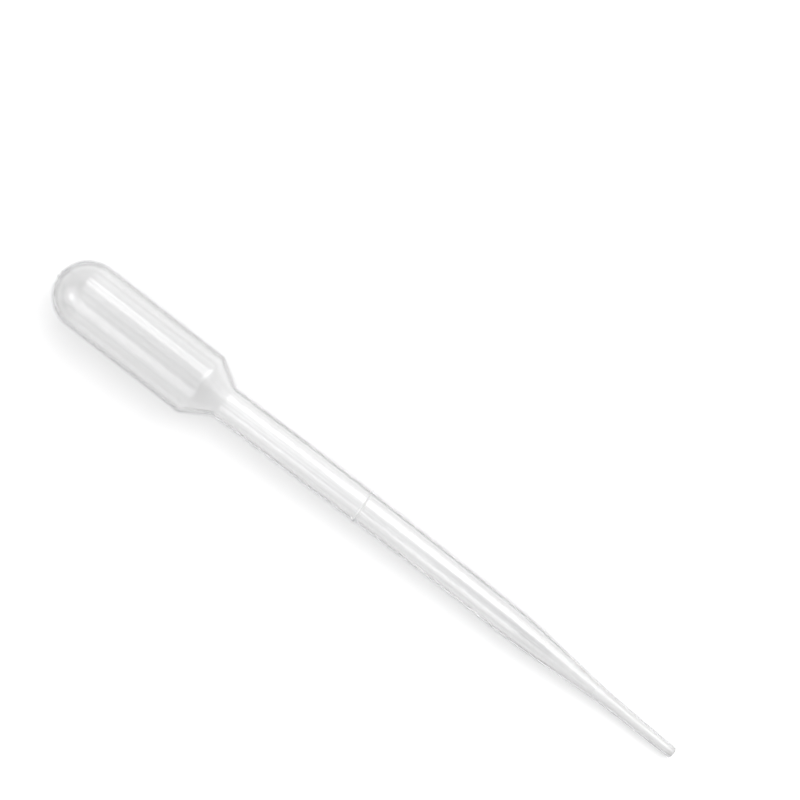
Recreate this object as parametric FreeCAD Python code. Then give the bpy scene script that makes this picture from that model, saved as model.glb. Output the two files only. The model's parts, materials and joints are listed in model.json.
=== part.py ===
import FreeCAD, Part
import itertools
import math
import os

# A disposable transfer pipette, blown in one piece from clear polyethylene. Half its section is drawn in
# the X-Z plane, with the pipette's own axis on X and the top of the dome at the origin, and turned about
# that axis. The mould parts in the X-Y plane. The piece is then laid down as it comes to rest, on the
# shoulder of its bulb and the end of its stem. Millimetres and degrees.

# Outside, from the dome to the tip: each length starts where the one before it ends
BULB_OD = 14.9
BULB_LENGTH = 36.0
SHOULDER_LENGTH = 5.7
NECK_OD = 7.9
NECK_LENGTH = 25.6
WAIST_OD = 7.15
WAIST_LENGTH = 30.5
STEM_END_OD = 7.0
STEM_END_LENGTH = 18.5
TAPER_LENGTH = 21.4
TIP_ROOT_OD = 3.16
TIP_LENGTH = 17.3

# Walls and bore
BULB_WALL = 0.38
DOME_WALL = 0.6
NECK_WALL = 0.5
STEM_WALL = 0.48
TIP_ROOT_WALL = 0.45
TIP_WALL = 0.42
TIP_BORE = 1.6
TIP_BORE_LENGTH = 6.0

# Rounds where the outline turns sharply
SHOULDER_ROUND = 2.4
NECK_ROUND = 1.2
LIP_ROUND = 0.24
LIP_INNER_ROUND = 0.08

# Reach of the soft bends where it turns by a few degrees, each way from the corner
STEM_BEND = 2.0
TAPER_BEND = 5.5
TIP_BEND = 4.5
BORE_BEND = 0.3

# Fill mark, a low bead around the stem, counted from the neck's end
MARK_FROM_NECK = 8.7
MARK_WIDTH = 0.6
MARK_HEIGHT = 0.1

# Weld across the dome, where the mould pinched the tube shut
WELD_SPAN = 50.0
WELD_RADIUS = 0.3
WELD_HEIGHT = 0.15

# Lean of the parting plane at rest, from upright towards +Y
PARTING_LEAN = 22.0

# Turn about X that carries the round faces' own seam from the drawn section into the parting plane
SEAM_TURN = 90.0

# Distances from the top of the dome
SHOULDER = BULB_LENGTH
NECK = SHOULDER + SHOULDER_LENGTH
NECK_END = NECK + NECK_LENGTH
WAIST = NECK_END + WAIST_LENGTH
STEM_END = WAIST + STEM_END_LENGTH
TIP_ROOT = STEM_END + TAPER_LENGTH
TIP = TIP_ROOT + TIP_LENGTH
MARK = NECK_END + MARK_FROM_NECK

BULB_RADIUS = BULB_OD / 2
NECK_RADIUS = NECK_OD / 2
WAIST_RADIUS = WAIST_OD / 2
STEM_END_RADIUS = STEM_END_OD / 2
TIP_ROOT_RADIUS = TIP_ROOT_OD / 2
BORE_RADIUS = TIP_BORE / 2
TIP_RADIUS = BORE_RADIUS + TIP_WALL
LIP_RADIUS = BORE_RADIUS + (TIP_WALL - LIP_ROUND + LIP_INNER_ROUND) / 2
CAVITY_RADIUS = BULB_RADIUS - BULB_WALL

# Points along each edge of the outline when the pipette is laid down
EDGE_POINTS = 40

# Turn about X that stands the X-Y plane upright
UPRIGHT = 90.0

ORIGIN = FreeCAD.Vector(0, 0, 0)
X_AXIS = FreeCAD.Vector(1, 0, 0)
Y_AXIS = FreeCAD.Vector(0, 1, 0)
Z_AXIS = FreeCAD.Vector(0, 0, 1)


def at(distance, radius):
    """A point of the half section: its distance from the dome's top and from the axis."""
    return FreeCAD.Vector(distance, 0, radius)


def line(start, end):
    return Part.LineSegment(start, end).toShape()


def arc(corner, back, onward, radius):
    """A tangent arc across a corner, given the directions back and onward from it."""
    half = back.getAngle(onward) / 2
    reach = radius / math.tan(half)
    middle = corner + (back + onward).normalize() * (radius / math.sin(half) - radius)
    return Part.Arc(corner + back * reach, middle, corner + onward * reach).toShape()


def bend(corner, back, onward, reach):
    """A soft bend across a corner: the parabola that is tangent to both sides at that reach."""
    curve = Part.BezierCurve()
    curve.setPoles([corner + back * reach, corner, corner + onward * reach])
    return curve.toShape()


def outline(start, corners, end):
    """Edges from start to end past (point, turn, size) corners, where turn is arc or bend."""
    points = [start] + [corner[0] for corner in corners] + [end]
    edges = []
    for index, (corner, turn, size) in enumerate(corners, 1):
        back = (points[index - 1] - corner).normalize()
        onward = (points[index + 1] - corner).normalize()
        edge = turn(corner, back, onward, size)
        edges += [line(start, edge.firstVertex(True).Point), edge]
        start = edge.lastVertex(True).Point
    return edges + [line(start, end)]


def dome(top, radius):
    """The quarter circle from a dome's top on the axis to its full radius."""
    rise = radius * math.sqrt(0.5)
    return Part.Arc(at(top, 0), at(top + radius - rise, rise), at(top + radius, radius)).toShape()


def skin():
    """The outside edges of the section, from the dome's top to the middle of the lip."""
    corners = [
        (at(SHOULDER, BULB_RADIUS), arc, SHOULDER_ROUND),
        (at(NECK, NECK_RADIUS), arc, NECK_ROUND),
        (at(NECK_END, NECK_RADIUS), bend, STEM_BEND),
        (at(WAIST, WAIST_RADIUS), bend, STEM_BEND),
        (at(STEM_END, STEM_END_RADIUS), bend, TAPER_BEND),
        (at(TIP_ROOT, TIP_ROOT_RADIUS), bend, TIP_BEND),
        (at(TIP, TIP_RADIUS), arc, LIP_ROUND),
    ]
    return [dome(0, BULB_RADIUS)] + outline(at(BULB_RADIUS, BULB_RADIUS), corners, at(TIP, LIP_RADIUS))


def hollow():
    """The inside edges of the section, from the middle of the lip back to the top of the cavity."""
    corners = [
        (at(TIP, BORE_RADIUS), arc, LIP_INNER_ROUND),
        (at(TIP - TIP_BORE_LENGTH, BORE_RADIUS), bend, BORE_BEND),
        (at(TIP_ROOT, TIP_ROOT_RADIUS - TIP_ROOT_WALL), bend, TIP_BEND),
        (at(STEM_END, STEM_END_RADIUS - STEM_WALL), bend, TAPER_BEND),
        (at(WAIST, WAIST_RADIUS - STEM_WALL), bend, STEM_BEND),
        (at(NECK_END, NECK_RADIUS - NECK_WALL), bend, STEM_BEND),
        (at(NECK, NECK_RADIUS - NECK_WALL), arc, NECK_ROUND + NECK_WALL),
        (at(SHOULDER, CAVITY_RADIUS), arc, SHOULDER_ROUND - BULB_WALL),
    ]
    edge = at(DOME_WALL + CAVITY_RADIUS, CAVITY_RADIUS)
    return outline(at(TIP, LIP_RADIUS), corners, edge) + [dome(DOME_WALL, CAVITY_RADIUS)]


def shell():
    """The hollow body of revolution."""
    section = skin() + hollow() + [line(at(DOME_WALL, 0), ORIGIN)]
    return Part.Face(Part.Wire(section)).revolve(ORIGIN, X_AXIS, 360)


def fill_mark():
    """A ring with a crowned outside, rooted halfway into the stem's wall."""
    skin = NECK_RADIUS + (WAIST_RADIUS - NECK_RADIUS) * MARK_FROM_NECK / WAIST_LENGTH
    root = skin - STEM_WALL / 2
    near = MARK - MARK_WIDTH / 2
    far = MARK + MARK_WIDTH / 2
    crown = Part.Arc(at(near, skin), at(MARK, skin + MARK_HEIGHT), at(far, skin)).toShape()
    sides = [line(at(far, skin), at(far, root)), line(at(far, root), at(near, root))]
    section = [crown] + sides + [line(at(near, root), at(near, skin))]
    return Part.Face(Part.Wire(section)).revolve(ORIGIN, X_AXIS, 360)


def weld():
    """A round bead bent over the dome in the parting plane, mostly inside the wall."""
    centre = at(BULB_RADIUS, 0)
    top = at(WELD_RADIUS - WELD_HEIGHT, 0)
    bead = Part.Face(Part.Wire(Part.Circle(top, Y_AXIS, WELD_RADIUS).toShape()))
    bead.rotate(centre, Z_AXIS, -WELD_SPAN / 2)
    return bead.revolve(centre, Z_AXIS, WELD_SPAN)


def rest_angle(balance):
    """How far the axis dips at rest, from the distance of the centre of mass.

    Of all lines through a point of the outline on each side of it, the floor is the outermost there.
    """
    points = [point for edge in skin() for point in edge.discretize(EDGE_POINTS)]
    before = [point for point in points if point.x < balance]
    after = [point for point in points if point.x > balance]

    def reach(pair):
        near, far = pair
        return near.z + (far.z - near.z) * (balance - near.x) / (far.x - near.x)

    near, far = max(itertools.product(before, after), key=reach)
    return math.degrees(math.atan2(near.z - far.z, far.x - near.x))


def lay_down(pipette):
    """Put the pipette at rest, with its box centred over the origin. Returns how far its axis dips."""
    dip = rest_angle(pipette.CenterOfMass.x)
    turn = FreeCAD.Rotation(Y_AXIS, dip) * FreeCAD.Rotation(X_AXIS, UPRIGHT - PARTING_LEAN)
    pipette.Placement = FreeCAD.Placement(ORIGIN, turn)
    box = pipette.optimalBoundingBox(False)
    centred = FreeCAD.Vector(-box.Center.x, -box.Center.y, -box.ZMin)
    pipette.Placement = FreeCAD.Placement(centred, turn)
    return dip


def describe(pipette, dip):
    """Print what the solid came to, and the middle of each stretch that something may hold."""
    box = pipette.optimalBoundingBox(False)
    print(f"{len(pipette.Solids)} solid, valid {pipette.isValid()}, {pipette.Volume:.2f} cubic mm")
    print(f"axis dips {dip:.4f}, box {box.XLength:.3f} x {box.YLength:.3f} x {box.ZLength:.3f}")
    middles = {
        "bulb": (BULB_RADIUS + SHOULDER) / 2,
        "neck": (NECK + NECK_END) / 2,
        "tip bore": TIP - TIP_BORE_LENGTH / 2,
    }
    for name, distance in middles.items():
        middle = pipette.Placement.multVec(at(distance, 0))
        print(f"middle of the {name}: {middle.x:.3f}, {middle.y:.3f}, {middle.z:.3f}")


def main():
    body = shell().fuse(fill_mark())
    body.rotate(ORIGIN, X_AXIS, SEAM_TURN)
    pipette = body.fuse(weld()).removeSplitter().Solids[0]
    dip = lay_down(pipette)
    os.makedirs("parts", exist_ok=True)
    pipette.exportStep("parts/dropper_pipette.step")
    describe(pipette, dip)


main()
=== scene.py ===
"""A disposable dropper pipette, blown from clear polyethylene, lying on a white table.

The pipette is one moulded piece. Its outside and inside walls are one closed surface: a half section
carried round the pipette's own axis, with the small reliefs that the mould and the drawn tube leave on
it. Lengths in the classes are millimetres, and the meshes, the lamps and the camera are in metres.
"""

import json
import logging
import math
from dataclasses import dataclass, field
from enum import Enum

import bpy
import numpy as np
from mathutils import Matrix, Vector


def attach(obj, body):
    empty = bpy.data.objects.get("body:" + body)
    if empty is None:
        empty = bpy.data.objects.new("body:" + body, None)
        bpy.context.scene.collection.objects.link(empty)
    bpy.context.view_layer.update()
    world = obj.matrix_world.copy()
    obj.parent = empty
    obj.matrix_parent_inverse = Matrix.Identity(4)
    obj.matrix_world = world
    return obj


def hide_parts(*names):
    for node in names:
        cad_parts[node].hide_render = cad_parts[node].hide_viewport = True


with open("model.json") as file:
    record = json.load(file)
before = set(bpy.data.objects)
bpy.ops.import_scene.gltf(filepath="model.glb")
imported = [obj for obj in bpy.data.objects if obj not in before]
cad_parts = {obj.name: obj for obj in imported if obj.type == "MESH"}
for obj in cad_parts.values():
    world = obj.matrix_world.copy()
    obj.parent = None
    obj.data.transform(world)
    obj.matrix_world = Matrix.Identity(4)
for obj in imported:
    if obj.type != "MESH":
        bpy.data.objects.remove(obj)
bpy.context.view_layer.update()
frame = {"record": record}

MM = 0.001

# What the mesh stores for its finish: a point's own place on the straight, round wall, and how near the
# crest of the fill mark it is
WALL_PLACE = "wall_place"
MARK_CREST = "mark_crest"

log = logging.getLogger("pipette")


class Wall(Enum):
    """The two faces of the blown wall."""

    OUTSIDE = "outside"
    INSIDE = "inside"


def linear(hex_colour: str) -> tuple[float, float, float, float]:
    """Turn an sRGB hex colour into the linear colour that a shader takes.

    Args:
        hex_colour: six hex digits after a hash sign.

    Returns:
        Red, green and blue in linear light, with an alpha of 1.
    """
    shares = [int(hex_colour[k : k + 2], 16) / 255 for k in (1, 3, 5)]
    light = [c / 12.92 if c <= 0.04045 else ((c + 0.055) / 1.055) ** 2.4 for c in shares]
    return (*light, 1.0)


def add_node(
    tree: bpy.types.NodeTree, kind: str, settings: dict | None = None, **links: bpy.types.NodeSocket
) -> bpy.types.Node:
    """Add a node with its settings and links.

    Args:
        tree: the node tree that it goes in.
        kind: the node's Blender type, such as ShaderNodeMath.
        settings: values by name, each of a property or, where the node has none of that name, an input.
        links: output sockets by input name, with _ for a space, or i and a number for an input's place.

    Returns:
        The new node.
    """
    node = tree.nodes.new(kind)
    properties = {name: value for name, value in (settings or {}).items() if hasattr(node, str(name))}
    for name, value in properties.items():
        setattr(node, name, value)
    for name, value in (settings or {}).items():
        if name not in properties:
            node.inputs[name].default_value = value
    for name, socket in links.items():
        place = int(name[1:]) if name[0] == "i" and name[1:].isdigit() else name.replace("_", " ")
        tree.links.new(socket, node.inputs[place])
    return node


def empty_material(name: str) -> tuple[bpy.types.Material, bpy.types.NodeTree]:
    """Make a material with no nodes.

    Args:
        name: the material's name.

    Returns:
        The material and its node tree.
    """
    material = bpy.data.materials.new(name)
    material.use_nodes = True
    material.node_tree.nodes.clear()
    return material, material.node_tree


@dataclass(frozen=True)
class Change:
    """A value that changes evenly along the pipette, between two distances from the top of its dome."""

    start: float
    end: float
    before: float
    after: float

    def settings(self) -> dict[str, float]:
        """The ranges of the Map Range node that gives it."""
        return {"From Min": self.start, "From Max": self.end, "To Min": self.before, "To Max": self.after}


@dataclass(frozen=True)
class BlownPolyethylene:
    """Low density polyethylene, blown against a polished mould.

    It gives the eye a clear, slightly hazy wall. The table shows through it a little dimmed, and more so
    where the wall is thick, at the dome and along the tip, and where it slants away. Seen edge on it is
    plain clear. Lamps lie on it as bright bars, softer on the bulb than on the stem, drawn out lengthwise
    by the fine lines that the tube's die left in it. The crest of the fill mark is matt.
    """

    # share of the light that comes through, along the pipette and at the mark's crest
    dome_tone: Change = Change(5.5, 8.5, before=0.92, after=0.987)
    tip_tone: Change = Change(122.0, 142.0, before=1.0, after=0.81)
    lip_tone: Change = Change(153.2, 154.4, before=1.0, after=0.86)
    mark_tone: float = 0.955

    # the same on the slant, reached between two shares of facing away, where 1 is edge on
    slant_tone: float = 0.935
    slant_from: tuple[float, float] = (0.05, 0.45)

    # the clear rim: the shares of facing away at which it starts and is full, and how much it hides
    rim_starts: Change = Change(36.0, 41.0, before=0.5, after=0.4)
    rim_full: Change = Change(36.0, 41.0, before=0.75, after=0.62)
    rim_share: float = 0.96
    rim_tone: str = "#FEFEFE"

    # the plastic itself, with the density of its colour per metre
    ior: float = 1.51
    clearness: Change = Change(122.0, 142.0, before=0.95, after=0.6)
    roughness: Change = Change(34.0, 44.0, before=0.13, after=0.06)
    mark_roughness: float = 0.5
    depth_colour: str = "#E7E7EA"
    depth_density: float = 145.0

    # what a lamp's light keeps at each face of the wall, so that the shadow stays pale
    lamp_through: Change = Change(118.0, 145.0, before=linear("#EAEAEA")[0], after=linear("#E4E4E4")[0])

    # the die's lines and the skin's grain, both drawn coarser than the real ones so that they show
    die_line_spacing: float = 0.45
    die_line_length: float = 40.0
    die_line_height: float = 0.0025
    skin_grain: float = 1.6
    skin_height: float = 0.0004
    relief: Change = Change(40.0, 125.0, before=1.0, after=0.2)

    def tone(
        self,
        tree: bpy.types.NodeTree,
        along: dict[str, bpy.types.NodeSocket],
        crest: bpy.types.NodeSocket,
        facing: bpy.types.NodeSocket,
    ) -> bpy.types.NodeSocket:
        """Work out the wall's tone, the product of all its shares.

        Args:
            tree: the material's nodes.
            along: what changes along the pipette, by name.
            crest: how near the mark's crest the point is.
            facing: the share by which the wall faces away.

        Returns:
            The tone.
        """
        matt = add_node(
            tree, "ShaderNodeMapRange", {"To Min": 1.0, "To Max": self.mark_tone}, Value=crest
        )
        slant = add_node(
            tree,
            "ShaderNodeMapRange",
            {
                "From Min": self.slant_from[0],
                "From Max": self.slant_from[1],
                "To Min": 1.0,
                "To Max": self.slant_tone,
            },
            Value=facing,
        )
        tone = along["dome_tone"]
        others = [matt.outputs["Result"], along["tip_tone"], along["lip_tone"], slant.outputs["Result"]]
        for share in others:
            product = add_node(tree, "ShaderNodeMath", {"operation": "MULTIPLY"}, i0=tone, i1=share)
            tone = product.outputs["Value"]
        return tone

    def skin(
        self, tree: bpy.types.NodeTree, place: bpy.types.NodeSocket, strength: bpy.types.NodeSocket
    ) -> bpy.types.NodeSocket:
        """Work out the wall's fine relief.

        The die's lines are noise on the point's own place, drawn out along the tube, and the grain is an
        even, lower noise on the same.

        Args:
            tree: the material's nodes.
            place: the point's own place on the wall.
            strength: the share of the relief that shows.

        Returns:
            The normal with the relief on it.
        """
        across, onward = 1 / self.die_line_spacing, 1 / self.die_line_length
        squeezed = add_node(
            tree, "ShaderNodeVectorMath", {"operation": "MULTIPLY", 1: (across, across, onward)}, i0=place
        )
        lines = add_node(
            tree,
            "ShaderNodeTexNoise",
            {"Scale": 1.0, "Detail": 3.0, "Roughness": 0.6},
            Vector=squeezed.outputs["Vector"],
        )
        grain = add_node(
            tree, "ShaderNodeTexNoise", {"Scale": 1 / self.skin_grain, "Detail": 2.0}, Vector=place
        )
        drawn = add_node(
            tree,
            "ShaderNodeBump",
            {"Distance": self.die_line_height * MM},
            Strength=strength,
            Height=lines.outputs["Fac"],
        )
        skin = add_node(
            tree,
            "ShaderNodeBump",
            {"Distance": self.skin_height * MM},
            Strength=strength,
            Height=grain.outputs["Fac"],
            Normal=drawn.outputs["Normal"],
        )
        return skin.outputs["Normal"]

    def material(self) -> bpy.types.Material:
        """Build the material.

        The plastic gives way to the clear rim where it is seen edge on. For lamps and for light from the
        table the wall is only a pale filter.

        Returns:
            The material.
        """
        material, tree = empty_material("blown_clear_polyethylene")
        place = add_node(tree, "ShaderNodeAttribute", {"attribute_name": WALL_PLACE}).outputs["Vector"]
        crest = add_node(tree, "ShaderNodeAttribute", {"attribute_name": MARK_CREST}).outputs["Fac"]
        distance = add_node(tree, "ShaderNodeSeparateXYZ", Vector=place).outputs["Z"]
        along = {
            name: add_node(tree, "ShaderNodeMapRange", value.settings(), Value=distance).outputs["Result"]
            for name, value in vars(self).items()
            if isinstance(value, Change)
        }
        facing = add_node(tree, "ShaderNodeLayerWeight", {"Blend": 0.5}).outputs["Facing"]
        roughness = add_node(
            tree,
            "ShaderNodeMapRange",
            {"To Max": self.mark_roughness},
            Value=crest,
            To_Min=along["roughness"],
        )
        plastic = add_node(
            tree,
            "ShaderNodeBsdfPrincipled",
            {"IOR": self.ior},
            Base_Color=self.tone(tree, along, crest, facing),
            Transmission_Weight=along["clearness"],
            Roughness=roughness.outputs["Result"],
            Normal=self.skin(tree, place, along["relief"]),
        )
        edge_on = add_node(
            tree,
            "ShaderNodeMapRange",
            {"To Max": self.rim_share},
            Value=facing,
            From_Min=along["rim_starts"],
            From_Max=along["rim_full"],
        )
        rim = add_node(tree, "ShaderNodeBsdfTransparent", {"Color": linear(self.rim_tone)})
        wall = add_node(
            tree,
            "ShaderNodeMixShader",
            i0=edge_on.outputs["Result"],
            i1=plastic.outputs["BSDF"],
            i2=rim.outputs["BSDF"],
        )
        ray = add_node(tree, "ShaderNodeLightPath")
        lit = add_node(
            tree,
            "ShaderNodeMath",
            {"operation": "MAXIMUM"},
            i0=ray.outputs["Is Shadow Ray"],
            i1=ray.outputs["Is Diffuse Ray"],
        )
        through = add_node(tree, "ShaderNodeBsdfTransparent", Color=along["lamp_through"])
        surface = add_node(
            tree,
            "ShaderNodeMixShader",
            i0=lit.outputs["Value"],
            i1=wall.outputs["Shader"],
            i2=through.outputs["BSDF"],
        )
        depth = add_node(
            tree,
            "ShaderNodeVolumeAbsorption",
            {"Color": linear(self.depth_colour), "Density": self.depth_density},
        )
        add_node(
            tree,
            "ShaderNodeOutputMaterial",
            Surface=surface.outputs["Shader"],
            Volume=depth.outputs["Volume"],
        )
        return material


@dataclass(frozen=True)
class MattWhiteTable:
    """A matt white laminate table top: it gives an even white ground that keeps the soft shadow."""

    colour: str = "#F2F2F2"
    glow: float = 0.02

    def material(self) -> bpy.types.Material:
        """Build the material: a matt white, and a glow that only the eye sees.

        It sees the glow straight, mirrored, and through the plastic.

        Returns:
            The material.
        """
        material, tree = empty_material("matt_white_table")
        matt = add_node(tree, "ShaderNodeBsdfDiffuse", {"Color": linear(self.colour)})
        ray = add_node(tree, "ShaderNodeLightPath")
        seen = ray.outputs["Is Camera Ray"]
        for way in ("Is Glossy Ray", "Is Transmission Ray"):
            either = add_node(
                tree, "ShaderNodeMath", {"operation": "MAXIMUM"}, i0=seen, i1=ray.outputs[way]
            )
            seen = either.outputs["Value"]
        strength = add_node(tree, "ShaderNodeMath", {"operation": "MULTIPLY", 1: self.glow}, i0=seen)
        glow = add_node(tree, "ShaderNodeEmission", Strength=strength.outputs["Value"])
        both = add_node(tree, "ShaderNodeAddShader", i0=matt.outputs["BSDF"], i1=glow.outputs["Emission"])
        add_node(tree, "ShaderNodeOutputMaterial", Surface=both.outputs["Shader"])
        return material


@dataclass
class Corner:
    """One corner of the half section, and how it is rounded.

    A round is an arc of that radius, tangent to both sides. A bend is a parabola that leaves each side at
    that reach from the corner.
    """

    distance: float
    radius: float
    round: float = 0.0
    bend: float = 0.0

    @property
    def point(self) -> np.ndarray:
        """The corner as (distance along the axis, radius)."""
        return np.array([self.distance, self.radius])

    def curve(self, before: np.ndarray, after: np.ndarray, steps: int) -> np.ndarray:
        """Work out the rounded corner.

        An arc's points are the centre plus the radius times the direction from it, which turns evenly from
        square on the first side to square on the second. A parabola is (1-u)^2 A + 2u(1-u) C + u^2 B.

        Args:
            before: the point that the outline comes from.
            after: the point that it goes on to.
            steps: how many spans the curve has.

        Returns:
            The curve's points, in order.
        """
        back = (before - self.point) / np.linalg.norm(before - self.point)
        onward = (after - self.point) / np.linalg.norm(after - self.point)
        share = np.linspace(0, 1, steps + 1)[:, None]
        if self.bend:
            first, last = self.point + back * self.bend, self.point + onward * self.bend
            return (1 - share) ** 2 * first + 2 * share * (1 - share) * self.point + share**2 * last
        half = math.acos(np.clip(back @ onward, -1, 1)) / 2
        middle = back + onward
        centre = self.point + middle / np.linalg.norm(middle) * self.round / math.sin(half)
        first = self.point + back * self.round / math.tan(half) - centre
        last = self.point + onward * self.round / math.tan(half) - centre
        turn = math.pi - 2 * half
        return centre + (np.sin((1 - share) * turn) * first + np.sin(share * turn) * last) / math.sin(turn)


@dataclass(frozen=True)
class Wave:
    """A slow wave round the tube: its height, how many times it comes round, and where it starts.

    The twist moves it on round the tube, in radians for each millimetre along it.
    """

    height: float
    times: int
    start: float
    twist: float = 0.0

    def at(self, distance: np.ndarray, angle: np.ndarray) -> np.ndarray:
        """The height times the sine of the angle times the count, plus the twist's share and the start."""
        return self.height * np.sin(self.times * angle + self.twist * distance + self.start)


def outline(
    start: np.ndarray, corners: list[Corner], end: np.ndarray, spacing: float, steps: int
) -> np.ndarray:
    """Carry a line from start to end past rounded corners.

    Args:
        start: the first point, as (distance, radius).
        corners: the corners in order.
        end: the last point.
        spacing: the longest span on a straight run.
        steps: how many spans each corner has.

    Returns:
        The points in order, the start and the end among them.
    """
    points = [start, *(corner.point for corner in corners), end]
    runs, here = [], start
    for index, corner in enumerate(corners, 1):
        curve = corner.curve(points[index - 1], points[index + 1], steps)
        runs += [straight(here, curve[0], spacing)[:-1], curve[:-1]]
        here = curve[-1]
    return np.vstack([*runs, straight(here, end, spacing)])


def straight(first: np.ndarray, last: np.ndarray, spacing: float) -> np.ndarray:
    """Points from first to last in even spans, none longer than spacing."""
    count = max(1, math.ceil(np.linalg.norm(last - first) / spacing))
    return first + np.linspace(0, 1, count + 1)[:, None] * (last - first)


def bump(offset: np.ndarray, reach: float) -> np.ndarray:
    """A smooth hump: (1 - (offset / reach)^2)^2 inside its reach, and 0 outside it."""
    return np.clip(1 - (offset / reach) ** 2, 0, None) ** 2


@dataclass
class Pipette:
    """The blown pipette: bulb, shoulder, stem, taper and tip tube in one wall."""

    record: dict
    finish: BlownPolyethylene = field(default_factory=BlownPolyethylene)

    # stations along the axis, from the top of the dome
    shoulder_at: float = 36.0
    neck_at: float = 41.7
    neck_end_at: float = 67.3
    waist_at: float = 97.8
    stem_end_at: float = 116.3
    tip_root_at: float = 137.7
    tip_at: float = 155.0

    # radii that no mount states
    waist_radius: float = 3.575
    stem_end_radius: float = 3.5
    tip_root_radius: float = 1.58

    # walls
    bulb_wall: float = 0.38
    dome_wall: float = 0.6
    neck_wall: float = 0.5
    stem_wall: float = 0.48
    tip_root_wall: float = 0.45
    tip_wall: float = 0.42
    bore_length: float = 6.0

    # rounds and soft bends
    shoulder_round: float = 2.4
    neck_round: float = 1.2
    stem_bend: float = 2.0
    taper_bend: float = 5.5
    tip_bend: float = 4.5
    bore_bend: float = 0.3
    lip_round: float = 0.34
    lip_inner_round: float = 0.06

    # the mark that is filled to, a low bead round the stem with a narrow matt line on its crest
    mark_at: float = 76.0
    mark_width: float = 0.6
    mark_height: float = 0.1
    mark_slant: float = 0.3
    mark_line: float = 0.36

    # where the two halves of the mould met: fine lines that fade out before the tip, and over the dome a
    # higher bead, whose ends fade over that turn in radians
    parting_lean: float = 22.0
    parting_width: float = 0.22
    parting_height: float = 0.035
    parting_end_at: float = 151.0
    parting_fade: float = 10.0
    weld_span: float = 50.0
    weld_width: float = 0.5
    weld_height: float = 0.08
    weld_fade: float = 0.1

    # slow waves where the bulb is widest, and how far the outside is drawn in there, so that waves and
    # lines stay within the true outline
    outer_waves: tuple[Wave, ...] = (
        Wave(0.012, times=3, start=0.7),
        Wave(0.008, times=5, start=2.0, twist=0.05),
        Wave(0.004, times=11, start=1.3),
    )
    inner_waves: tuple[Wave, ...] = (
        Wave(0.016, times=2, start=2.4),
        Wave(0.010, times=4, start=0.0, twist=-0.04),
        Wave(0.006, times=9, start=0.4),
    )
    drawn_in: float = 0.026

    # how far the stem stands off a straight line, sideways, and the shoulder off square, on its +Y side
    bow: float = 0.78
    askew: float = 0.33
    askew_from: tuple[float, float] = (28.0, 34.5)
    askew_to: tuple[float, float] = (43.0, 51.0)

    # the mesh: spans and columns, how far the fine columns at a parting line reach, in widths of the line,
    # and the share of that reach past which the even columns go on
    dome_steps: int = 30
    corner_steps: int = 7
    run_spacing: float = 2.0
    mark_rows: int = 19
    columns: int = 190
    parting_columns: int = 12
    parting_reach: float = 1.5
    parting_gap: float = 1.1

    def __post_init__(self) -> None:
        """Take the axis and the radii that fit other things from the record's mounts."""
        mounts = {mount["name"]: mount for mount in self.record["mounts"]}
        stem, bulb, bore = mounts["stem"], mounts["bulb"], mounts["tip_bore"]
        self.neck_radius = stem["dims"]["r_mm"]
        self.bulb_radius = bulb["dims"]["r_mm"]
        self.bore_radius = bore["dims"]["r_mm"]
        self.along = np.array(stem["axis"]) / np.linalg.norm(stem["axis"])
        self.aside = np.array([0.0, 1.0, 0.0])
        self.upward = np.cross(self.along, self.aside)
        middle = (self.neck_at + self.neck_end_at) / 2
        self.dome_top = np.array(stem["pos_m"]) / MM - middle * self.along
        self.tip_radius = self.bore_radius + self.tip_wall
        self.lip_radius = self.bore_radius + (self.tip_wall - self.lip_round + self.lip_inner_round) / 2

    def dome(self, wall: Wall) -> np.ndarray:
        """Work out half of the dome's arc.

        It is a quarter circle: the dome's top plus the radius times (1 - cosine, sine) of the turn.

        Args:
            wall: the outside or the inside.

        Returns:
            Its points, from its pole to the full radius.
        """
        top, radius = 0.0, self.bulb_radius
        if wall is Wall.INSIDE:
            top, radius = self.dome_wall, self.bulb_radius - self.bulb_wall
        turn = np.linspace(0, math.pi / 2, self.dome_steps + 1)
        return np.column_stack([top + radius * (1 - np.cos(turn)), radius * np.sin(turn)])

    def finer_at_mark(self, section: np.ndarray) -> np.ndarray:
        """Swap the section's points at the mark for a close run of them.

        Args:
            section: points as (distance, radius), in either direction along the axis.

        Returns:
            The section with those points, in the same direction.
        """
        way = -1 if section[0, 0] > section[-1, 0] else 1
        section = section[::way]
        reach = self.mark_width / 2 + self.mark_slant
        rows = self.mark_at + np.linspace(-1, 1, self.mark_rows) * reach
        radii = np.interp(rows, section[:, 0], section[:, 1])
        kept = section[(section[:, 0] < rows[0]) | (section[:, 0] > rows[-1])]
        split = np.searchsorted(kept[:, 0], rows[0])
        return np.vstack([kept[:split], np.column_stack([rows, radii]), kept[split:]])[::way]

    def outside(self) -> np.ndarray:
        """Draw the section's outside.

        Returns:
            Its points, from the pole of the dome to the crest of the lip.
        """
        corners = [
            Corner(self.shoulder_at, self.bulb_radius, round=self.shoulder_round),
            Corner(self.neck_at, self.neck_radius, round=self.neck_round),
            Corner(self.neck_end_at, self.neck_radius, bend=self.stem_bend),
            Corner(self.waist_at, self.waist_radius, bend=self.stem_bend),
            Corner(self.stem_end_at, self.stem_end_radius, bend=self.taper_bend),
            Corner(self.tip_root_at, self.tip_root_radius, bend=self.tip_bend),
            Corner(self.tip_at, self.tip_radius, round=self.lip_round),
        ]
        dome = self.dome(Wall.OUTSIDE)
        crest = np.array([self.tip_at, self.lip_radius])
        body = outline(dome[-1], corners, crest, self.run_spacing, self.corner_steps)
        return self.finer_at_mark(np.vstack([dome[:-1], body]))

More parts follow.
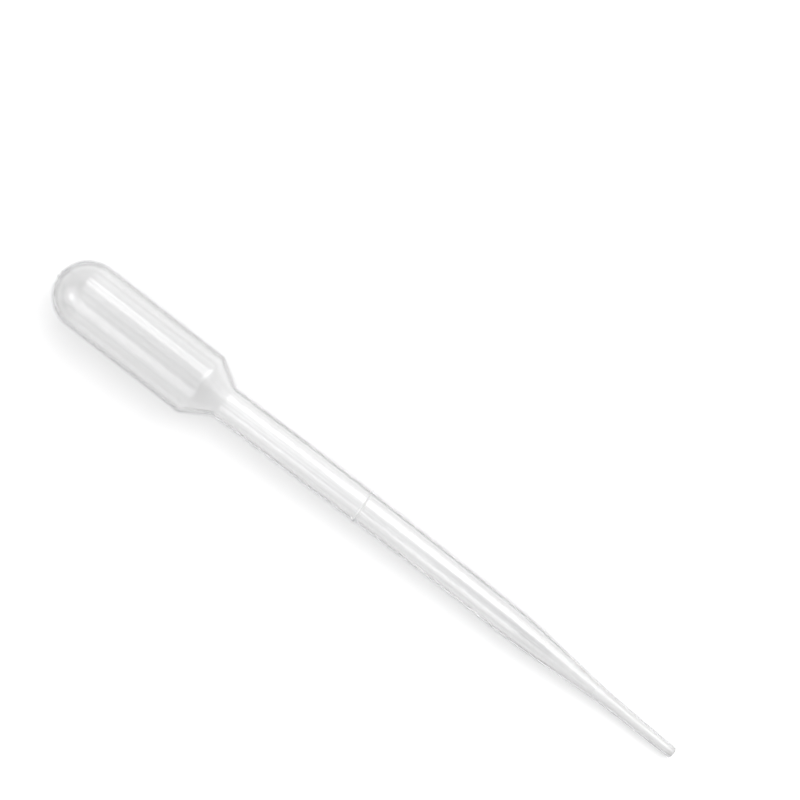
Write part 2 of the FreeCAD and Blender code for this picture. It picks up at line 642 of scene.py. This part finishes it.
    def inside(self) -> np.ndarray:
        """Draw the section's inside.

        Returns:
            Its points, from the crest of the lip back to the pole of the cavity.
        """
        cavity = self.bulb_radius - self.bulb_wall
        bore_at = self.tip_at - self.bore_length
        neck = self.neck_radius - self.neck_wall
        corners = [
            Corner(self.tip_at, self.bore_radius, round=self.lip_inner_round),
            Corner(bore_at, self.bore_radius, bend=self.bore_bend),
            Corner(self.tip_root_at, self.tip_root_radius - self.tip_root_wall, bend=self.tip_bend),
            Corner(self.stem_end_at, self.stem_end_radius - self.stem_wall, bend=self.taper_bend),
            Corner(self.waist_at, self.waist_radius - self.stem_wall, bend=self.stem_bend),
            Corner(self.neck_end_at, neck, bend=self.stem_bend),
            Corner(self.neck_at, neck, round=self.neck_round + self.neck_wall),
            Corner(self.shoulder_at, cavity, round=self.shoulder_round - self.bulb_wall),
        ]
        dome = self.dome(Wall.INSIDE)[::-1]
        crest = np.array([self.tip_at, self.lip_radius])
        body = outline(crest, corners, dome[0], self.run_spacing, self.corner_steps)
        return self.finer_at_mark(np.vstack([body[:-1], dome]))

    def angles(self) -> np.ndarray:
        """Choose the columns of the mesh, closer together at the two parting lines.

        Returns:
            Their angles round the axis, from upright towards +Y.
        """
        even = np.linspace(0, 2 * math.pi, self.columns, endpoint=False)
        reach = self.parting_reach * self.parting_width / self.neck_radius
        fine = np.linspace(-reach, reach, self.parting_columns)
        seams = math.radians(self.parting_lean) + np.array([0, math.pi])
        near = np.abs((even[:, None] - seams + math.pi) % (2 * math.pi) - math.pi).min(axis=1)
        kept = even[near > reach * self.parting_gap]
        return np.sort(np.concatenate([kept, *(seam + fine for seam in seams)]))

    def from_parting(self, angle: np.ndarray) -> np.ndarray:
        """The angle to the nearer parting line, signed."""
        away = angle - math.radians(self.parting_lean)
        return (away + math.pi / 2) % math.pi - math.pi / 2

    def crest(self, distance: np.ndarray, angle: np.ndarray, width: float) -> np.ndarray:
        """How near the mark's crest, a little off square, a point is: 1 on it and 0 off that width."""
        slant = self.mark_slant * np.sin(angle - math.radians(self.parting_lean))
        return bump(distance - self.mark_at + slant, width / 2)

    def relief(
        self, wall: Wall, distance: np.ndarray, radius: np.ndarray, angle: np.ndarray
    ) -> np.ndarray:
        """Work out how far the wall stands off its round form.

        Both sides: slow waves round the tube, which is never drawn quite even, and a hump of the mark's
        width round the stem. Outside: the wall is drawn in by the waves' dips, with a fine hump on each
        parting line, and a higher one over the dome where the tube was pinched.

        Args:
            wall: the outside or the inside.
            distance: the points' distances along the axis, as a column.
            radius: their radii, as a column.
            angle: the angles round the axis, as a row.

        Returns:
            The height off the wall, away from the plastic outside and into it inside.
        """
        mark = self.mark_height * self.crest(distance, angle, self.mark_width)
        slim = radius / self.bulb_radius
        if wall is Wall.INSIDE:
            return sum(wave.at(distance, angle) for wave in self.inner_waves) * slim + mark
        off = self.from_parting(angle)
        dips = np.minimum(sum(wave.at(distance, angle) for wave in self.outer_waves), 0)
        parting = self.parting_height * bump(off * radius, self.parting_width)
        fade = np.clip((self.parting_end_at - distance) / self.parting_fade, 0, 1)
        from_pole = np.arccos(np.clip(1 - distance / self.bulb_radius, -1, 1))
        ends = np.clip((math.radians(self.weld_span / 2) - from_pole) / self.weld_fade, 0, 1)
        weld = self.weld_height * bump(radius * np.sin(off), self.weld_width / 2) * ends
        return (dips - self.drawn_in) * slim + mark + parting * fade * (1 - ends) + weld

    def off_line(self, distance: np.ndarray) -> np.ndarray:
        """How far the axis is off straight, towards +Y: half a sine wave from the shoulder to the tip."""
        share = np.clip((distance - self.shoulder_at) / (self.tip_at - self.shoulder_at), 0, 1)
        return self.bow * np.sin(math.pi * share)

    def skew(self, distance: np.ndarray, angle: np.ndarray) -> np.ndarray:
        """How far the shoulder's rings are pushed along the axis, as the sine of the angle towards +Y."""
        share = np.interp(distance, [*self.askew_from, *self.askew_to], [0, 1, 1, 0])
        return self.askew * share * np.sin(angle)

    def surface(self, wall: Wall, section: np.ndarray, angle: np.ndarray) -> np.ndarray:
        """Carry a section round the axis, with its relief.

        The relief stands square on the section, on the side that is outward. A point is then the top of
        the dome, plus its distance along the axis, plus its radius times the cosine of the angle upwards
        and the sine of it sideways, plus the stem's bow sideways.

        Args:
            wall: the outside or the inside.
            section: points as (distance, radius).
            angle: the angles round the axis.

        Returns:
            Points in metres, rows along the section by columns round the axis.
        """
        distance, radius = section[:, :1], section[:, 1:]
        round_it = angle[None, :]
        run = np.gradient(section, axis=0)
        run /= np.linalg.norm(run, axis=1, keepdims=True)
        square = np.column_stack([-run[:, 1], run[:, 0]]) * (1 if wall is Wall.OUTSIDE else -1)
        proud = self.relief(wall, distance, radius, round_it)
        along = distance + proud * square[:, :1] + self.skew(distance, round_it)
        full = radius + proud * square[:, 1:]
        spoke = np.cos(round_it)[..., None] * self.upward + np.sin(round_it)[..., None] * self.aside
        bowed = self.off_line(along)[..., None] * self.aside
        return (self.dome_top + along[..., None] * self.along + bowed + full[..., None] * spoke) * MM

    def faces(self, rows: int, columns: int) -> list[list[int]]:
        """List the shell's faces: a grid that closes on itself round the axis, and a fan at each pole.

        Args:
            rows: how many rows of points there are, before the two poles.
            columns: how many points each row has.

        Returns:
            The faces, as lists of point numbers.
        """
        index = np.arange(rows * columns).reshape(rows, columns)
        onward = np.roll(index, -1, axis=1)
        quads = np.stack([index[:-1], index[1:], onward[1:], onward[:-1]], axis=-1).reshape(-1, 4)
        outer_pole, inner_pole = (np.full(columns, rows * columns + pole) for pole in (0, 1))
        dome = np.column_stack([outer_pole, index[0], onward[0]])
        cavity = np.column_stack([inner_pole, onward[-1], index[-1]])
        return quads.tolist() + dome.tolist() + cavity.tolist()

    def store_places(self, mesh: bpy.types.Mesh, section: np.ndarray, angle: np.ndarray) -> None:
        """Store for the finish each point's own place on the wall, and how near the mark's crest it is.

        A place is the radius times the cosine and the sine of the angle, and the distance along the axis.

        Args:
            mesh: the shell's mesh.
            section: its rows as (distance, radius).
            angle: its columns' angles.
        """
        place = np.empty((len(section), len(angle), 3))
        place[..., :2] = np.stack([np.cos(angle), np.sin(angle)], axis=-1) * section[:, 1, None, None]
        place[..., 2] = section[:, 0, None]
        place = np.vstack([place.reshape(-1, 3), [[0, 0, 0], [0, 0, self.dome_wall]]])
        stored = mesh.attributes.new(WALL_PLACE, "FLOAT_VECTOR", "POINT")
        stored.data.foreach_set("vector", place.astype(np.float32).ravel())
        near = np.append(self.crest(section[:, :1], angle[None, :], self.mark_line).ravel(), [0, 0])
        stored = mesh.attributes.new(MARK_CREST, "FLOAT", "POINT")
        stored.data.foreach_set("value", near.astype(np.float32))

    def build(self) -> bpy.types.Object:
        """Build the closed shell as one mesh: the outside's rows, the inside's rows and the two poles.

        Returns:
            The pipette's object.
        """
        angle = self.angles()
        outside, inside = self.outside(), self.inside()
        outer = self.surface(Wall.OUTSIDE, outside, angle)[1:]
        inner = self.surface(Wall.INSIDE, inside, angle)[1:-1]
        rows = np.concatenate([outer, inner])
        poles = (self.dome_top + np.array([[-self.weld_height], [self.dome_wall]]) * self.along) * MM
        points = np.vstack([rows.reshape(-1, 3), poles])
        mesh = bpy.data.meshes.new("dropper_pipette_shell")
        mesh.from_pydata(points.tolist(), [], self.faces(*rows.shape[:2]))
        mesh.shade_smooth()
        self.store_places(mesh, np.vstack([outside[1:], inside[1:-1]]), angle)
        mesh.materials.append(self.finish.material())
        piece = bpy.data.objects.new("blown_pipette", mesh)
        bpy.context.scene.collection.objects.link(piece)
        return piece


class Lamp(Enum):
    """The studio's lamps."""

    KEY = "key_softbox"
    WASH = "high_scrim"
    TOP = "overhead_scrim"
    LOW = "low_scrim"
    BACK = "back_scrim"
    RIM = "back_rim_strip"
    END = "tip_end_scrim"
    SLOPE = "low_tip_end_scrim"
    HOT = "key_hot_end"
    SPOT = "spot_dish"
    HALO = "spot_scrim"


class Face(Enum):
    """The outline of a lamp's face, as Blender names it."""

    OBLONG = "RECTANGLE"
    ROUND = "ELLIPSE"


@dataclass(frozen=True)
class Softbox:
    """A flat soft lamp that looks at the pipette.

    It hangs off the upright by two angles, aside towards +Y and onward towards +X, and it is as wide along
    +X and as high across as the two angles that the pipette sees it under, all in degrees. The brightness
    is that of its face, where 1 is white, and away is its distance in metres.
    """

    aside: float
    onward: float
    width: float
    height: float
    brightness: float
    away: float = 1.6
    face: Face = Face.OBLONG

    def build(self, name: str, aim: Vector) -> bpy.types.Object:
        """Hang the lamp.

        Its side is twice the distance times the tangent of half the angle, and its power is its brightness
        times its area times pi.

        Args:
            name: the lamp's name.
            aim: the point that it looks at.

        Returns:
            The lamp's object.
        """
        lamp = bpy.data.lights.new(name, "AREA")
        lamp.shape = self.face.value
        lamp.size, lamp.size_y = (
            2 * self.away * math.tan(math.radians(angle) / 2) for angle in (self.width, self.height)
        )
        area = lamp.size * lamp.size_y * (math.pi / 4 if self.face is Face.ROUND else 1)
        lamp.energy = self.brightness * area * math.pi
        holder = bpy.data.objects.new(name, lamp)
        aside, onward = math.radians(self.aside), math.radians(self.onward)
        reach = math.cos(onward)
        towards = Vector((math.sin(onward), reach * math.sin(aside), reach * math.cos(aside)))
        across = (Vector((1, 0, 0)) - towards * towards.x).normalized()
        upright = towards.cross(across)
        holder.matrix_world = Matrix.Translation(aim + towards * self.away) @ Matrix(
            [across, upright, towards]
        ).transposed().to_4x4()
        bpy.context.scene.collection.objects.link(holder)
        return holder


@dataclass
class Studio:
    """The white table, the lamps and the camera."""

    table: MattWhiteTable = field(default_factory=MattWhiteTable)
    table_size: float = 6.0
    room_light: float = 0.12

    # the camera: its lean from the zenith towards the tip and the slope of the pipette's axis in degrees,
    # then its distance, the width that it sees there, and its aim off the pipette's middle in metres
    lean_to_tip: float = 2.0
    axis_slope: float = 38.05
    away: float = 1.0
    field_of_view: float = 0.15896
    aim_right: float = 0.00673
    aim_up: float = 0.02258
    sees_from: float = 0.01
    sees_to: float = 100.0

    lamps: dict[Lamp, Softbox] = field(
        default_factory=lambda: {
            Lamp.KEY: Softbox(42, -3, width=54, height=25, brightness=3.5),
            Lamp.WASH: Softbox(19, -2, width=52, height=22, brightness=1.8),
            Lamp.TOP: Softbox(-2, 0, width=50, height=22, brightness=0.85),
            Lamp.LOW: Softbox(68, 0, width=50, height=24, brightness=0.7),
            Lamp.BACK: Softbox(-43, 10, width=38, height=34, brightness=0.9),
            Lamp.RIM: Softbox(-76, 4, width=60, height=20, brightness=0.9),
            Lamp.END: Softbox(58, 56, width=34, height=84, brightness=0.7),
            Lamp.SLOPE: Softbox(-24, 64, width=26, height=100, brightness=0.9),
            Lamp.HOT: Softbox(41, 18, width=30, height=44, brightness=2.4, away=1.4),
            Lamp.SPOT: Softbox(
                -38, -37, width=20, height=20, brightness=3.6, away=1.4, face=Face.ROUND
            ),
            Lamp.HALO: Softbox(-38, -38, width=52, height=52, brightness=1.4, face=Face.ROUND),
        }
    )

    def build_table(self) -> bpy.types.Object:
        """Lay the table top under the pipette.

        Returns:
            The table's object.
        """
        half = self.table_size / 2
        mesh = bpy.data.meshes.new("table")
        corners = [(-half, -half, 0), (half, -half, 0), (half, half, 0), (-half, half, 0)]
        mesh.from_pydata(corners, [], [(0, 1, 2, 3)])
        mesh.materials.append(self.table.material())
        table = bpy.data.objects.new("table", mesh)
        bpy.context.scene.collection.objects.link(table)
        return table

    def build_room(self) -> None:
        """Give the room its plain, even light."""
        world = bpy.data.worlds.new("plain_room")
        world.use_nodes = True
        background = world.node_tree.nodes["Background"]
        background.inputs["Color"].default_value = linear("#FFFFFF")
        background.inputs["Strength"].default_value = self.room_light
        bpy.context.scene.world = world

    def build_camera(self, middle: Vector) -> bpy.types.Object:
        """Set the camera up.

        The way back to the camera is upright, leant towards the tip. The picture's right is the way from
        bulb to tip, turned up by the slope at which the pipette's axis runs down across the picture.

        Args:
            middle: the middle of the pipette's axis.

        Returns:
            The camera's object.
        """
        lean = math.radians(self.lean_to_tip)
        back = Vector((math.sin(lean), 0, math.cos(lean)))
        down_axis = Vector((1, 0, 0)) - back * back.x
        turn = Matrix.Rotation(math.radians(self.axis_slope), 3, back)
        right = (turn @ down_axis).normalized()
        up = back.cross(right)
        aim = middle + right * self.aim_right + up * self.aim_up
        data = bpy.data.cameras.new("camera")
        data.lens = data.sensor_width * self.away / self.field_of_view
        data.clip_start, data.clip_end = self.sees_from, self.sees_to
        camera = bpy.data.objects.new("camera", data)
        camera.matrix_world = Matrix.Translation(aim + back * self.away) @ Matrix(
            [right, up, back]
        ).transposed().to_4x4()
        bpy.context.scene.collection.objects.link(camera)
        bpy.context.scene.camera = camera
        return camera

    def build(self, middle: Vector) -> None:
        """Build the table, the room's light, the lamps and the camera.

        Args:
            middle: the middle of the pipette's axis.
        """
        self.build_table()
        self.build_room()
        for lamp, softbox in self.lamps.items():
            softbox.build(lamp.value, middle)
            log.info("lamp %s hung", lamp.value)
        self.build_camera(middle)
        bpy.context.scene.view_settings.view_transform = "Standard"


def main() -> None:
    """Build the pipette and the studio."""
    logging.basicConfig(level=logging.INFO, format="%(name)s: %(message)s")
    pipette = Pipette(frame["record"])
    piece = pipette.build()
    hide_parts("dropper_pipette")
    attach(piece, "root")
    log.info("%s: %d faces", piece.name, len(piece.data.polygons))
    half_way = pipette.dome_top + pipette.along * pipette.tip_at / 2
    Studio().build(Vector(half_way * MM))


if __name__ == "__main__":
    main()
